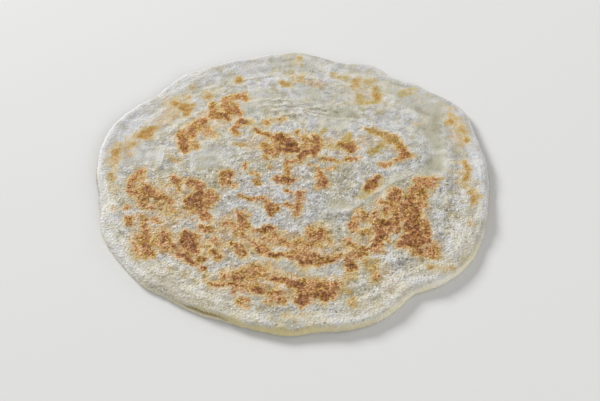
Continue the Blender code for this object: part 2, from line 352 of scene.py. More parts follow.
brown_strokes = (
    # far left arc
    (0.46, (-27, 60, 2.5), (-29, 63, 3), (-34, 62, 3), (-39, 59.5, 2.6), (-40, 55, 2)),
    (0.54, (-38, 56, 4), (-35, 52, 5), (-32, 49, 3.4), (-38, 50, 3.4)),
    (0.4, (-41, 50, 3.2), (-43, 53, 2.6)), (0.64, (-30, 62.5, 1.6), (-33.5, 62, 1.2)),
    (0.76, (-35.3, 56, 1.3)), (0.78, (-33, 48.8, 1.3), (-31.8, 51, 1.4)),
    (0.6, (-46.5, 56, 1.8), (-46, 50, 2.2), (-45, 46, 2.8), (-40, 47, 3.4), (-37, 44, 2.2)),
    (0.84, (-42, 47.5, 1.3), (-39.5, 46.8, 1.8), (-37.3, 44.2, 1.4)),
    (0.58, (-49.5, 42.5, 2.6), (-53, 39, 2.8), (-56, 37, 2.8), (-56.5, 33, 2.8), (-57, 30, 2.5)),
    (0.78, (-49, 40.2, 1.2)), (0.76, (-55.8, 36.5, 1.2), (-56.3, 32, 1.2)),
    (0.66, (-61, 32.5, 2.4), (-61.5, 28, 2.8), (-59.8, 23, 3.2), (-59.5, 18.5, 2.4)),
    (0.84, (-61.5, 31, 1.3), (-60.8, 27.5, 1)), (0.84, (-59.3, 22, 1.4), (-59.6, 18, 1.2)),
    (0.36, (-55, 27, 3.4), (-54, 20, 2.8)), (0.4, (-52, 36, 3), (-47, 33, 3.6), (-44, 30, 2.4)),
    (0.64, (-50, 34, 1.3), (-47.5, 34.5, 1.1)), (0.62, (-43.6, 30, 1)),
    (0.84, (-29.8, 41.4, 2.2), (-26.5, 40.5, 1.7)), (0.46, (-24, 40, 1.8)),
    (0.56, (-31, 38.5, 2.4), (-33, 34.5, 2), (-31.5, 31, 1.8)), (0.72, (-33.3, 33.8, 0.9)),
    # the two patches above the middle
    (0.75, (-20.5, 34.5, 0.9), (-19, 32.5, 1.1), (-16, 31, 1.2), (-12, 28.5, 1.6), (-9, 27.5, 1.6)),
    (0.78, (-8, 29, 1.8), (-5, 27.5, 2.6), (-3, 24, 3.4), (0, 21.5, 2.5), (3, 19.5, 1.5)),
    (0.95, (-6, 24, 1.6), (-3, 22.5, 1.8), (1, 21, 1.4)),
    (0.92, (-8, 19.5, 1.6), (-5, 18.8, 1.8), (-1, 18, 1.8), (2.5, 17.5, 1.2)),
    (0.62, (-16.5, 23, 1.6), (-15.5, 19, 2.2), (-13, 17, 2.4), (-9, 17.5, 2.4)),
    (0.6, (-16, 14.5, 1), (-14.5, 12, 0.8)), (0.65, (-11, 13.5, 0.8)),
    (0.4, (-14, 21, 3), (-9, 22, 3), (-11, 26, 2)), (0.52, (5, 29.5, 1.8), (7, 26, 2.5)),
    (0.74, (12, 29, 1.8), (14.5, 26.5, 1.8), (14.2, 22, 2), (12.5, 20, 2.2)), (0.9, (12.5, 21.5, 1.4)),
    (0.85, (11.5, 26, 1.2)), (0.78, (7.5, 17.5, 2.8), (10, 18, 2.4), (12, 15.5, 1.8)), (0.45, (8, 22.5, 4)),
    (0.7, (5.5, 15.5, 2), (4, 13, 1.8), (3.3, 11, 1.3)),
    (0.6, (1, 9.8, 1.3), (-3, 9.6, 1.7), (-4, 7, 1.3), (-3.2, 3, 1.8), (-3, 0, 1.8)),
    (0.62, (-16, 40, 1.8), (-14.5, 39, 1.6)), (0.34, (-12, 42, 2), (-7, 43, 2), (-4.5, 45, 1.3)),
    (0.62, (-7, 43, 1)), (0.8, (1.8, 33.6, 0.9), (1.8, 32.4, 0.8)), (0.72, (-26, 7, 1.2), (-26, 4.5, 1.2)),
    (0.45, (-12, 6, 1.5)),
    # the star and the small marks right of it
    (0.74, (25, 23, 1.5), (29, 22.3, 2.7), (31.5, 22, 2.2), (31, 18.5, 1.4)), (0.86, (31.2, 22.5, 1.3)),
    (0.52, (29.5, 24, 3.4), (30, 28, 1.8), (30, 31, 0.8)), (0.5, (31.5, 20.5, 3.2)),
    (0.58, (15.5, 12, 1.3), (19, 12, 1.4), (22, 11.5, 1.4), (23.5, 9.5, 0.8)),
    (0.55, (22, 5.5, 1.3), (19, 5.5, 0.9)), (0.52, (28, 12, 1.6), (31, 12.2, 1.4), (35, 13, 1.3)),
    (0.66, (31, 10.5, 1)), (0.45, (8, 7.5, 0.8), (12, 6.5, 1.2), (14, 4, 1), (15, 1.5, 1.5)),
    # crescent, far right
    (0.66, (40, 36, 0.8), (44, 34, 1.4), (48, 32.5, 2), (52, 30.8, 2.5), (55, 29, 2.5), (57, 26, 2)),
    (0.58, (52, 27.5, 2.4)),
    (0.66, (58.5, 23, 2), (60, 19.5, 2.5), (60.5, 15, 2.8), (58, 12.5, 2), (55, 11, 1.3)),
    (0.55, (63.5, 15, 2)), (0.68, (47.5, 8.5, 1.3), (50, 7.5, 1.9), (52, 8.8, 1.2)),
    # middle
    (0.58, (-36.5, 1, 2.8), (-37, -3, 2.8), (-34.5, -6.5, 2.6)), (0.66, (-34, 0.5, 3)),
    (0.97, (-33.2, 0, 1.7), (-33.4, -1.8, 1.3)), (0.78, (-36.4, -3.4, 0.9)), (0.6, (-30.3, -8.2, 1.3)),
    (0.7, (-9.5, -2.4, 2), (-6, -3.8, 2.4), (-2.5, -4, 2.8), (0, -3, 1.6)), (0.92, (-8.6, -2.2, 1.5)),
    (0.86, (-3.2, -4.2, 1.6), (-1.6, -2.6, 1.1)), (0.66, (-19, -5.2, 1.6), (-18, -6.5, 1.5)),
    (0.7, (-21, 0.5, 1.1), (-18.5, -0.8, 1)), (0.58, (14.5, 3, 1.8), (15, -2, 2.8), (15.8, -6.5, 3.2)),
    (0.82, (15, -2.6, 1.3), (13.9, -8, 1.2)), (0.78, (17.6, -6.5, 1), (17, -3, 0.8)),
    (0.76, (-3.2, -10.5, 1.3), (-1.8, -12, 1.1)),
    (0.52, (4, -13, 2.4), (3.4, -17, 3), (2.6, -22, 2.6), (2, -27, 1.6)),
    (0.8, (3, -16, 1.2), (2.6, -19.2, 1.4)), (0.78, (2.2, -23.5, 1.5), (2, -27, 0.9)),
    (0.78, (-3, -20.5, 1), (-1, -21.5, 1)),
    (0.62, (-27.5, -14.6, 0.9), (-24.5, -16.3, 1.4), (-22, -17, 1.2), (-15, -17.5, 1.2), (-12, -19, 1.3)),
    (0.84, (-25, -16.2, 1)), (0.8, (-19, -17, 0.9)),
    (0.6, (-11.5, -21, 2.4), (-11, -25, 2.8), (-11.5, -28, 1.4)),
    (0.86, (-12.9, -20.5, 0.9), (-12.4, -24, 1.1), (-11.6, -28, 0.9)),
    (0.78, (-8.6, -21.5, 1.1), (-8.4, -24.2, 1.4)),
    (0.74, (44, -2.5, 2.2), (41.5, -6, 3), (39.5, -10, 2.2)), (0.78, (43, -4, 0.9), (41.5, -7, 0.9)),
    (0.45, (44.5, -8.5, 1.3)),
    # left: the bent arm, then the big patch with its lobe and tail
    (0.55, (-80.8, 2.9, 2.2), (-83.3, -2.1, 2.6), (-84.8, -7.2, 2.4), (-84.3, -12.2, 2.6),
        (-81.8, -13.7, 2.4)), (0.8, (-80.1, -3.1, 0.8)),
    (0.54, (-77.8, -8.2, 2.4), (-77.8, -14.2, 3.6), (-76.9, -20.2, 3)),
    (0.76, (-75.9, -10.2, 1.4), (-73.4, -13.2, 2.2), (-70.4, -17.2, 2)),
    (0.56, (-70.9, -15.2, 2.8), (-66, -17.2, 2.6), (-63, -20.7, 1.8)),
    (0.42, (-73.9, -23.2, 3), (-67, -22.2, 3.4), (-62, -26.3, 2.4)),
    (0.64, (-63.5, -2.1, 2.2), (-61.5, -4.2, 3), (-60.1, -6.7, 2), (-59.1, -11.2, 1.4)),
    (0.84, (-62, -3.6, 1.4)), (0.82, (-54.1, -6, 1.9), (-51.7, -6.2, 1.9)),
    (0.74, (-50.2, -6.2, 1.8), (-48.7, -10.2, 2), (-48.2, -14.2, 3)),
    (0.78, (-49.2, -15.2, 3.6), (-50.7, -19.2, 4.6), (-48.2, -23.2, 3)),
    (0.96, (-55.1, -18.7, 1), (-53.6, -20.7, 1.4)), (0.92, (-49.2, -21.2, 1.2)),
    (0.55, (-43.3, -12.7, 2.4), (-42.3, -16.2, 4.4), (-44.2, -21.2, 3.6)),
    (0.6, (-54.1, -23.7, 1.6), (-50.2, -25.8, 1.4)),
    (0.66, (-47.7, -25.3, 2.4), (-45.2, -28.3, 2.6), (-42.8, -31.3, 1.9)), (0.46, (-51.2, -30.8, 1.6)),
    (0.48, (-84.8, -23.2, 2.2)), (0.38, (-91.7, -24.8, 1.6)),
    (0.66, (-82.3, -31.8, 2.8), (-82.3, -34.3, 2.6)),
    (0.52, (-77.8, -29.8, 1.6), (-72.9, -31.3, 1.8), (-68.5, -32.3, 1.8)),
    (0.66, (-74.9, -34.3, 1.4), (-74.4, -38.3, 2), (-73.9, -43.3, 2.8), (-72.9, -48.4, 2.8),
        (-70.4, -53.4, 2.4), (-69, -55.4, 1.6)), (0.82, (-73.9, -40.3, 1), (-73.4, -44.4, 1.2)),
    (0.44, (-76.9, -43.3, 2.4), (-76.9, -51.4, 3.2), (-71.9, -55.4, 3.2)),
    (0.46, (-68, -47.4, 3.4), (-62, -50.4, 2.6)),
    (0.6, (-64.5, -39.8, 2.2), (-64, -43.3, 3.8), (-62, -47.4, 3.2), (-59.1, -49.4, 2)),
    (0.95, (-64.3, -41.3, 0.8), (-64, -45.9, 0.9)), (0.5, (-61, -51.4, 2), (-58.1, -53.4, 1.6)),
    (0.76, (-52.2, -42.3, 3.2), (-51.7, -46.4, 4.2), (-49.2, -50.4, 3.2), (-47.2, -53.4, 1.9)),
    (0.95, (-52.6, -44.4, 1.4), (-51.2, -47.4, 1.6), (-48.7, -50.9, 1.1)), (0.5, (-47.2, -43.3, 2.2)),
    (0.84, (-55.6, -53.9, 2.3), (-52.6, -55.4, 1.8), (-50.2, -58.4, 2), (-47.2, -60.4, 1.5)),
    (0.97, (-55.1, -53.4, 1.4)), (0.72, (-45.2, -57.4, 1.9), (-43.3, -57.4, 1.4)),
    (0.74, (-38.8, -52.9, 1.5), (-36.8, -54.9, 1.9), (-34.9, -55.9, 1.3)),
    (0.58, (-38.8, -46.4, 1.9), (-36.8, -47.4, 1.6)), (0.4, (-44.7, -48.4, 2.2), (-40.3, -50.4, 2.2)),
    (0.58, (-45.2, -37.3, 2.4), (-41.3, -38.8, 2.2)), (0.62, (-34.4, -34.8, 1.4), (-31.4, -34.3, 1.7)),
    # near left, lower
    (0.6, (-27, -26, 2), (-25.5, -29, 2.6), (-24.5, -32, 3), (-24.5, -36, 3), (-25, -40, 2.2),
        (-24, -44, 1.6)), (0.9, (-25, -31, 1.5)), (0.78, (-23, -34.5, 1.2)),
    (0.44, (-28.5, -37, 3), (-28, -42, 2)), (0.56, (-38.5, -43.8, 1.4), (-37.3, -46, 1.8)),
    (0.62, (-30.5, -47, 1.6), (-27.5, -48.5, 1.5)), (0.97, (-27.2, -50.3, 0.7), (-26, -53, 0.9)),
    (0.8, (-24.6, -49, 1), (-24.2, -52, 1.1), (-23.5, -54.8, 1.2)),
    (0.66, (-39, -53, 1.6), (-37, -54, 1.3)), (0.62, (-43, -63.5, 1.9)),
    (0.72, (-38.5, -73, 1.1), (-35, -73.8, 1.3), (-31, -74.2, 1.5), (-28, -74, 1.7), (-25, -74.5, 1.5)),
    (0.44, (-31, -69, 3.4), (-26, -68.5, 4.2), (-20, -67.5, 4.6), (-14.5, -66.5, 4), (-12.5, -63.5, 2.4)),
    (0.46, (-34, -73.5, 2), (-27, -74.5, 3.2), (-20, -75, 3.6), (-14, -75.5, 3.2)),
    (0.4, (-27, -77, 2.2), (-22, -78, 1.8)), (0.74, (-32, -68.4, 1.7)),
    (0.88, (-28, -68.9, 1.5), (-25, -69, 1.6)),
    (0.76, (-18.5, -61.8, 1.6), (-16, -63.5, 1.6), (-18, -66, 1.6), (-15, -67.8, 1.3)),
    (0.62, (-21, -63.8, 1.5), (-23, -67, 1.3)),
    (0.9, (-10, -69.4, 1.2), (-7, -69.6, 1.4), (-4, -69.8, 1.1), (-1, -71.5, 1.6)),
    (0.84, (-19, -76, 1.5), (-15.6, -77, 1.7)),
    (0.64, (-11, -79.3, 1.5), (-8, -77.6, 1.9), (-5, -77.5, 1.3)),
    (0.44, (-10, -82.5, 2.8), (-5, -82, 2.6)), (0.8, (-6.4, -82.4, 1.3), (-3.4, -82.4, 1.3)),
    (0.44, (-25, -83, 2.4), (-22, -83.5, 2.8)), (0.68, (-21, -86.5, 0.6)), (0.34, (28.6, -83, 1.6)),
    # near middle: short bar, round spot and the long smile-shaped stroke
    (0.72, (-20, -39.4, 0.8), (-17, -39.6, 0.9), (-15, -39.4, 1.2)),
    (0.78, (-14, -38.6, 2.1), (-11.6, -37.2, 2.4)), (0.97, (-11.6, -36.6, 1.3), (-13.4, -39.2, 1.1)),
    (0.58, (-10, -41, 2), (-8.2, -43, 1.7), (-6.5, -45, 1.3)), (0.4, (-14, -44.5, 2.4), (-9, -46, 2.4)),
    (0.58, (-19, -47, 2.2), (-16, -49.5, 3), (-13.2, -52.3, 2.8)),
    (0.76, (-17.4, -50, 1.3), (-14.6, -51.4, 1.4), (-12.6, -53, 1.4)),
    (0.58, (-4.4, -45.5, 2.2), (-1.4, -48, 2.2)), (0.94, (-10.6, -54.5, 1.1), (-8, -55.2, 1.3)),
    (0.84, (-8, -55.2, 1.2), (-4, -54.6, 1.3), (-1, -55.4, 1.4), (2, -57, 1.2), (5, -58.8, 1.2)),
    (0.88, (5, -58.8, 1.2), (8, -59.2, 1.5), (12, -59.6, 1.3), (15, -59.3, 1.1), (18, -58.2, 1),
        (20.5, -56.4, 1.1), (23.5, -55.2, 0.9)),
    (0.54, (1, -53.5, 2.6), (7, -55.5, 3.6), (13, -56.5, 3), (17.5, -56, 1.6)),
    (0.44, (3, -46, 3.2), (5, -50, 5), (3.5, -53, 4.2)), (0.44, (8, -47, 3.6), (13, -46, 3.4)),
    (0.7, (6, -52.8, 1)), (0.68, (8, -49.5, 0.8), (9, -47, 0.9)), (0.44, (17.5, -43, 2), (18.5, -48, 1.8)),
    (0.97, (11.4, -40, 1.6), (14, -40.9, 1.4)),
    (0.72, (10, -40.8, 2.6), (13.5, -40, 3.2), (12.5, -43.4, 2.2)), (0.42, (11, -38, 4.4), (16.5, -40, 3)),
    (0.46, (12, -46, 2.6)), (0.86, (26.8, -56.6, 1.5), (29, -59.4, 1.4), (30.6, -62, 1.7)),
    (0.5, (28, -60, 2.8), (29, -64, 2.8)),
    # near right ring: beads of gold and red-brown, then the arm that climbs to the right
    (0.52, (27.4, -44.9, 1.8), (29.4, -47.9, 2.4), (31.8, -49.9, 1.9)),
    (0.58, (29.4, -52.9, 2.2), (32.8, -54.4, 2.6), (35.3, -53.4, 2)),
    (0.92, (35.3, -50.9, 1.2), (38.3, -50.6, 1.3), (41.2, -49.6, 1.3), (44.2, -47.6, 1.2)),
    (0.48, (40.7, -52.4, 2), (44.7, -51.9, 1.8)),
    (0.68, (43.2, -47.4, 1.9), (43.9, -43.3, 2.6), (44.2, -38.3, 2.8), (44.2, -34.3, 2.6),
        (44.2, -31.3, 1.8)), (0.6, (47.2, -44.9, 1.6), (47.2, -40.3, 1.9), (48.6, -37.3, 1.8)),
    (0.86, (45.2, -32.3, 1.6), (48.6, -33.3, 2.4), (50.6, -34.8, 2.4)),
    (0.92, (52.8, -31.8, 1.2), (53.4, -35.3, 1.3), (52.6, -38.8, 1.1)), (0.58, (49.6, -38.8, 1.6)),
    (0.66, (42.7, -25.8, 1.4), (42.2, -28.8, 1.5)), (0.74, (36.6, -26.8, 1.4), (37, -29.3, 1.5)),
    (0.5, (33.3, -26.3, 1.5), (34.8, -23.7, 1.2)), (0.52, (35.8, -31.3, 1.5), (39.7, -31.8, 1.5)),
    (0.72, (29.9, -34.3, 1.8), (30.8, -36.3, 1.5)),
    (0.58, (32.3, -39.3, 1.4), (35.8, -40.3, 1.4), (39.2, -38.3, 1.5)),
    (0.42, (31.8, -30.3, 2.4), (30.8, -39.3, 2)), (0.84, (39.5, -62.3, 0.8)),
    (0.55, (41.5, -66.5, 1.2), (40, -68.5, 1.1)),
        # lower cluster
    (0.56, (0, -72, 2.6), (5, -73.2, 3.6), (12, -74, 4.4), (18, -74, 4), (21.5, -72, 1.8)),
    (0.56, (5, -78, 3.6), (12, -78, 3.6), (19.5, -78, 3.2)),
    (0.8, (1.4, -72.6, 1.9), (4.8, -72.8, 1.7), (3, -75.2, 1.2)), (0.74, (8, -74.8, 1.1)),
    (0.68, (11.3, -72.4, 1.3), (12.2, -75.2, 1)), (0.72, (16, -72, 1.3), (17.4, -74.4, 1.5)),
    (0.74, (21, -71.6, 1.1), (21.4, -74.2, 1.2)),
    (0.92, (5, -79.4, 1.5), (4.2, -82.2, 1.7), (8.2, -80, 1.4)), (0.72, (5.4, -81, 3), (7.6, -82.6, 1.6)),
    (0.92, (11.2, -80, 1.3), (14.2, -78, 1.9), (18.6, -77.8, 1.9), (15.4, -80.6, 1.4)),
    (0.84, (20, -79.8, 1.1)), (0.52, (6, -84.6, 2.2), (4.6, -86.4, 1.2)),
    # right patch: a round blob, a tall column, a golden wing up to the right, a dark foot
    (0.7, (53.6, -12.2, 3.6), (53.1, -15.7, 3.6), (52.1, -19.2, 2.2)),
    (0.66, (44.7, -18, 0.8), (48.6, -20, 1.6), (51.6, -21.2, 2.2)),
    (0.62, (48.4, -23.2, 1.3), (48.2, -28.3, 1.3)),
    (0.52, (52.6, -22.2, 3.4), (54.6, -26.3, 4.2), (52.6, -30.3, 2), (57.5, -29.3, 3.6)),
    (0.58, (61.5, -9.7, 1.8), (61, -14.2, 2.6), (60.5, -19.2, 3), (60, -24.3, 3.4)),
    (0.84, (62.5, -9.2, 1), (62.3, -13.2, 1.2), (61, -17.2, 1.5), (61, -22.2, 1.2)),
    (0.86, (57, -20.2, 1.3), (58.5, -22.7, 1)),
    (0.54, (65.9, -2.1, 1.8), (66.9, -6.2, 3.6), (66.9, -11.2, 3.8), (67.4, -16.2, 2.8)),
    (0.56, (69.4, -3.1, 2.4), (74.3, -3.1, 2), (77.8, -2.6, 1)), (0.5, (71.4, -7.2, 3), (73.8, -5.7, 2)),
    (0.76, (71.9, -4.2, 1.4), (69.9, -6.2, 1.2)), (0.74, (68.9, -11.7, 1.4), (68.4, -14.2, 1.2)),
    (0.64, (65.4, -18.2, 2.2), (66.9, -20.7, 2.2)),
    (0.6, (64, -21.2, 3.2), (63.5, -26.3, 3.6), (61.5, -30.3, 4.2)),
    (0.84, (64.9, -23.7, 1.2), (63, -26.8, 1.3)),
    (0.73, (61, -32.3, 4.4), (61.5, -37.3, 4.8), (62.5, -42.3, 4.6)),
    (0.86, (60.5, -35.3, 1.4), (58, -38.3, 1.4), (61.5, -41.3, 1.6)),
    (0.6, (66.9, -32.3, 1.8), (68.4, -36.3, 2), (66.9, -41.3, 2.2), (66.4, -45.4, 2.4)),
    (0.84, (54.1, -47.4, 2), (57.5, -46.9, 2.6), (61, -47.9, 2.8)),
    (0.94, (57, -47.4, 1.4), (60.5, -48.4, 1.6)), (0.78, (57.5, -42.8, 2.4), (64, -46.4, 2.6)),
    (0.52, (60.5, -51.9, 2.4), (64.4, -53.4, 3.2), (68.9, -51.4, 3.6), (69.9, -47.4, 1.8),
        (68.4, -55.4, 2.2)), (0.8, (66.7, -49.7, 0.8), (67.9, -52.9, 1.3)),
    (0.42, (70.9, -47.4, 1.6), (71.4, -55.4, 1.6)),
)

gold_strokes = (
    # near right
    (0.34, (-3, -91.5, 3), (3, -92, 3.2), (9, -90, 2.4)),
    (0.45, (66, -63, 2), (70, -64, 1.8), (76, -64, 1.6)),
    (0.62, (37, -59, 3), (40, -62, 3), (40, -68, 2.2)), (0.54, (27.5, -67, 3), (30, -68, 2)),
    (0.42, (39, -11, 2.6), (36, -14.5, 2)), (0.36, (44, -66, 2.6), (47, -62, 2.2)),
    (0.3, (-52, -66, 2.6), (-46, -70, 2.4)),
    # far left
    (0.7, (-85, 29.5, 2.4), (-81, 31, 4.4), (-78.5, 35, 3.2)),
    (1, (-83, 32, 1.4), (-80, 32.5, 1.4), (-78.5, 36, 1.2)), (0.9, (-82, 29.5, 0.8), (-79.5, 30, 0.8)),
    (0.42, (-85, 25, 2.8), (-89, 22, 2.4)),
    (0.58, (-95.5, 21, 2), (-96.2, 15, 2.4), (-96, 9, 2), (-96, 5, 1.4)),
    (0.85, (-95.3, 18, 1.2), (-96, 13, 1)), (0.8, (-95.5, 8, 0.9)), (0.35, (-93.5, 22, 1.8)),
    (0.7, (-96.6, -1, 1.8), (-95.6, -3, 1.6)), (0.35, (-95, 2, 2.2), (-95, -8, 2), (-93, -12, 2.4)),
    (0.64, (-69, 56, 2.4), (-66, 54, 2.6)), (0.68, (-63, 54, 3.4), (-61, 51, 4), (-60, 47, 2.2)),
    (1, (-64, 51.5, 0.9), (-61, 50, 1.2), (-58.5, 51.5, 1)), (0.92, (-61, 47, 1)), (0.66, (-58, 54, 2.2)),
    (0.5, (-62.5, 63, 2.3), (-60, 61, 2.2), (-62, 58, 2)), (0.42, (-59, 70, 3), (-59, 73, 2)),
    (0.64, (-49.5, 62, 3), (-50, 65, 1.6)), (0.68, (-32, 78, 1.8), (-32, 75.5, 2)), (0.28, (-33, 73, 2)),
    # far
    (0.5, (3, 96, 2), (3, 91, 1.9)), (0.5, (6, 83, 1.6), (4, 78, 2), (3, 75, 1.6)),
    (0.56, (-7, 74, 2.6), (-3, 73, 2)), (0.46, (23, 81.5, 2.4), (27, 79.5, 1.8), (31, 79.5, 1.6)),
    (0.6, (35, 76, 2.6), (36, 73, 2.8), (36, 70, 2.4)), (0.55, (42.5, 75, 2.2), (46.5, 76, 1.7)),
    (0.62, (47, 69.5, 2), (47.5, 66, 2.4), (48, 62, 2.2), (48.5, 58, 1.8)),
    (0.6, (37.5, 64, 1.9), (38, 60, 2), (38.5, 57, 1.6)), (0.55, (42.5, 57, 2.6), (46, 58, 2.2)),
    (0.4, (49, 53, 1.1)), (0.5, (63, 66, 2.2), (68, 68, 2.4)), (0.25, (72, 62, 2)),
    (0.32, (57.5, 42, 1.7), (61, 42, 1.4)), (0.5, (68.5, 40, 1.1)),
    # right edge
    (0.3, (83, 58, 1.8), (86, 53, 1.9), (89, 48, 2.1)), (0.58, (89, 45, 2.8), (88, 41.5, 3)),
    (0.52, (93, 36, 2.6), (94, 32, 2.2)), (0.64, (94.5, 28, 1.9), (95, 25, 1.6)),
    (0.66, (92.5, 10.5, 1.5), (92.5, 5, 1.9), (92, 0, 2.2), (91, -4, 1.9)), (0.4, (90, -7.5, 1.4)),
    (0.62, (93.5, -12, 2.2), (94.5, -16, 2.9), (93.5, -20, 2)), (0.42, (81.5, -28, 1.4)),
    (0.66, (90, -33, 1), (90, -35, 1)), (0.58, (67, -62.5, 1.9), (71, -63, 1.7)),
    (0.56, (75, -63, 2), (77.5, -62.5, 1.2)),
    # olive-gold marks among the brown ones
    (0.74, (49, 24, 1.2), (45.5, 20.5, 1.2), (42, 17, 1.6)), (0.55, (14, 31, 1.1), (17, 34, 1.7)),
    (0.66, (17.5, 21, 0.8), (22, 22, 1), (24, 21, 1.1)), (0.8, (30.5, 27, 1.6), (30, 31, 0.8)),
    (0.55, (37.5, -13.5, 1.4), (34.5, -16, 1.3)), (0.5, (46.5, -1.5, 1.2)),
    (0.56, (-32.5, 23.4, 1.6), (-28, 22.6, 1.8), (-25.6, 22.8, 1.3)),
    (0.6, (-42, -67.6, 1.3), (-41.8, -70.6, 1.5)), (0.5, (-35, -55, 1.3)),
    (0.5, (-66, 13, 2.4), (-62.5, 10.5, 2.2), (-61.5, 8.5, 1.5)), (0.5, (-85.5, -16, 1.2)),
    (0.45, (-69, -22, 1.3), (-68, -26, 1.1)), (0.52, (-65, -25, 1.2), (-61, -27, 2.1), (-60, -30, 1.5)),
    (0.45, (-70.5, -4, 1.2), (-69, -7, 1.7), (-66, -7.5, 1.2)), (0.6, (-77, -54, 1.9), (-76.5, -57, 2.3)),
    (0.45, (-58.5, -63.5, 1.6)), (0.45, (-26, -54.5, 1.2), (-23, -56, 0.9)), (0.42, (-13, -68, 1.8)),
    (0.55, (14.5, -33.5, 1.6)), (0.5, (32, -45.5, 1.3)), (0.55, (34, -28.5, 0.9), (34.5, -25, 0.9)),
    (0.6, (39, -31.5, 1.2)), (0.6, (37, -38.5, 1.5), (39, -38, 0.9)), (0.48, (38, -60, 2.8), (42, -59, 2)),
    (0.48, (38, -70.5, 1.4)), (0.56, (26, -76, 1.8), (28, -77.4, 1.2)),
    (0.72, (28.6, -84, 1.6), (29.4, -81, 1.2)), (0.42, (15.5, -84.5, 2)), (0.26, (41, -85, 2)),
    (0.45, (4, -62, 1.3), (7, -64.5, 1.8)), (0.62, (12, -69.5, 1.8)),
)

char_specks = ((22, -90.5, 0.5), (16.5, -97, 0.5), (90.2, -30, 0.4))

# a small stretch and shift of all the marks together, which brings them into place on the
# outline; its four amounts come from a least-squares fit by a scratch program
px, py = 1.012 * x - 1.22 + warp_x, 0.995 * y + 1.13 + warp_y
mark_soft, fringe_soft, gold_soft = (1.9, 2.4), (0.5, 4.6), (2.4, 4.0)
brown = blended_paint(brown_strokes, px, py, *mark_soft)
halo = blended_paint(brown_strokes, px - 0.4 * warp_x, py - 0.4 * warp_y, *fringe_soft)
# over the middle the skin between the marks stayed white
halo *= 1.0 - 0.45 * np.exp(-((x + 5.0) / 28.0) ** 2 - ((y + 14.0) / 15.0) ** 2)
gold = blended_paint(gold_strokes, px - 0.6 * warp_x, py - 0.6 * warp_y, *gold_soft)
char = np.zeros(len(x))
for speck_x, speck_y, size in char_specks:
    char = np.maximum(char, 1.0 - fade(0.4 * size, 1.5 * size, np.hypot(x - speck_x, y - speck_y)))

# zones of the plain skin: white where the flour from rolling stayed on, with painted light along
# the rims; olive where it is tight; greyer, partly painted shade over the far half; and creamy, partly
# painted light over the near half
flour_and_rim_light_zones = (
    (1, (-101, -8, 5), (-100, 16, 4), (-92, 38, 6), (-74, 62, 7), (-52, 80, 6)),
    (1, (-40, 90, 5), (-12, 93, 6)), (0.7, (20, 97, 5), (34, 90, 6), (44, 88, 5), (62, 78, 5)),
    (0.6, (-58, -80, 5), (-46, -89, 4)), (0.9, (96, 50, 4), (103, 22, 4), (104, 0, 4), (100, -22, 5)),
    (0.9, (-91, -8, 5), (-92, -28, 5)), (0.25, (-88, -42, 5), (-80, -60, 4)),
    (1, (-30, -12, 5), (-14, -10, 7), (10, -12, 7), (10, -30, 6), (-12, -32, 5)), (0.8, (-50, -32, 4)),
    (0.5, (72, -30, 6), (76, -46, 5)), (0.6, (32, -54, 4), (54, -58, 4)), (0.7, (-84, 14, 8), (-76, 48, 7)),
    (0.7, (-28, 60, 8), (-46, 58, 5)), (0.7, (54, 10, 8), (60, 36, 8)), (0.5, (58, -63, 4), (64, -60, 4)),
    (0.5, (26, -94, 3)), (0.9, (40, -89, 4), (50, -83, 3), (74, -71, 5)), (0.7, (88, -52, 5), (96, -30, 4)),
    (0.6, (-30, 30, 6), (-28, 8, 7)),
)
olive_zones = (
    (1, (78, 54, 3), (77, 30, 4), (76, 8, 4.5)), (1, (66, 4, 3), (72, 6, 4)),
    (0.9, (8, 51, 3), (24, 50, 4), (36, 46, 3)), (0.6, (54, -2, 2), (40, -16, 3)),
    (0.5, (20, -24, 5), (30, -20, 4)), (0.5, (10, 62, 5)), (0.5, (60, 60, 6), (72, 50, 5)),
    (0.5, (-46, 11, 6), (-40, 6, 5)), (0.4, (-50, -84, 5), (-30, -92, 4)),
    (0.25, (34, -78, 5), (44, -80, 5)), (0.9, (-87, -37, 1), (-85.5, -43, 1.2), (-84, -49, 1)),
    (0.6, (-97, -7, 1.5), (-96, -17, 1.5)), (0.7, (-89, -46, 3), (-87, -53, 3)),
)
# greyer and darker zones, partly painted shade, most of them over the far half
grey_and_shaded_zones = (
    (0.9, (8, 91, 4), (14, 90, 4)), (0.8, (4, -92, 3), (16, -91, 3)), (1, (-31, 52, 6), (-22, 46, 5)),
    (1, (8, 72, 6), (18, 69, 4)), (0.8, (22, 68, 4), (44, 74, 4)), (0.9, (12, 51, 4), (26, 51, 4)),
    (0.9, (-88, -50, 5), (-90, -42, 3)), (0.5, (66, 60, 6), (72, 66, 5)), (0.75, (68, 11, 6), (46, 14, 5)),
)
# creamy zones, partly painted light over the near half and its rims
creamy_and_lit_zones = (
    (1, (-70, -68, 6), (-46, -82, 8), (-26, -86, 8)),
    (0.9, (26, -70, 5), (34, -72, 6), (40, -84, 6), (52, -72, 5)), (0.6, (60, -66, 4), (74, -62, 5)),
    (0.7, (-60, -64, 5), (-44, -70, 6)), (1, (-89, -24, 5), (-87, -12, 4)),
    (0.6, (84, -52, 5), (90, -40, 5)),
)
grey_and_shaded, creamy_and_lit, olive = (
    blended_paint(zones, x + slow_x, y + slow_y, 3.0, 4.5)
    for zones in (grey_and_shaded_zones, creamy_and_lit_zones, olive_zones)
)
flour_and_rim_light = blended_paint(flour_and_rim_light_zones, x + slow_x, y + slow_y, 3.5, 5.0)
flour_and_rim_light *= 1.0 + 0.55 * np.exp(-((x - 4.0) / 20.0) ** 2 - ((y + 12.0) / 13.0) ** 2)

